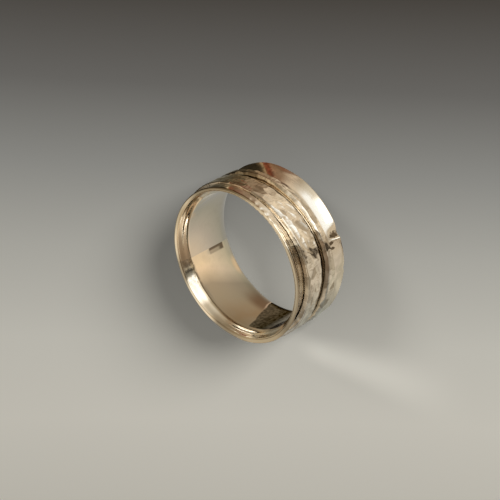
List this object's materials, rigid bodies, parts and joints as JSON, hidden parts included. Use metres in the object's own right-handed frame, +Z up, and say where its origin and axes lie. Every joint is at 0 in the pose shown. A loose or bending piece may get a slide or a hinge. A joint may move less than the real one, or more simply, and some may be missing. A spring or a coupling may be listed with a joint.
{
  "type": "spinner ring",
  "caption": "Polished silver finger band with flared rims and two loose hammered hoops that spin round it.",
  "frame": {"origin": "centre of the ring on the surface it lies on, at the rear rim's flat edge", "axes": "+Z up along the bore's axis, from the rear rim it rests on to the front rim"},
  "size_m": [0.021, 0.021, 0.0086],
  "materials": {
    "polished_silver": "polished silver with fine wear scratches",
    "hammered_silver": "hammered silver, polished crests and tarnish in the recesses"
  },
  "bodies": {
    "band": {"base_band": "polished_silver"},
    "wide_hoop": {"wide_spinner": "hammered_silver"},
    "narrow_hoop": {"narrow_spinner": "hammered_silver"}
  },
  "joints": [
    {"name": "wide_spin", "type": "hinge", "parent": "band", "child": "wide_hoop", "pos_m": [0, 0, 0.0055], "axis": [0, 0, 1], "continuous": true},
    {"name": "narrow_spin", "type": "hinge", "parent": "band", "child": "narrow_hoop", "pos_m": [0, 0, 0.00275], "axis": [0, 0, 1], "continuous": true}
  ]
}
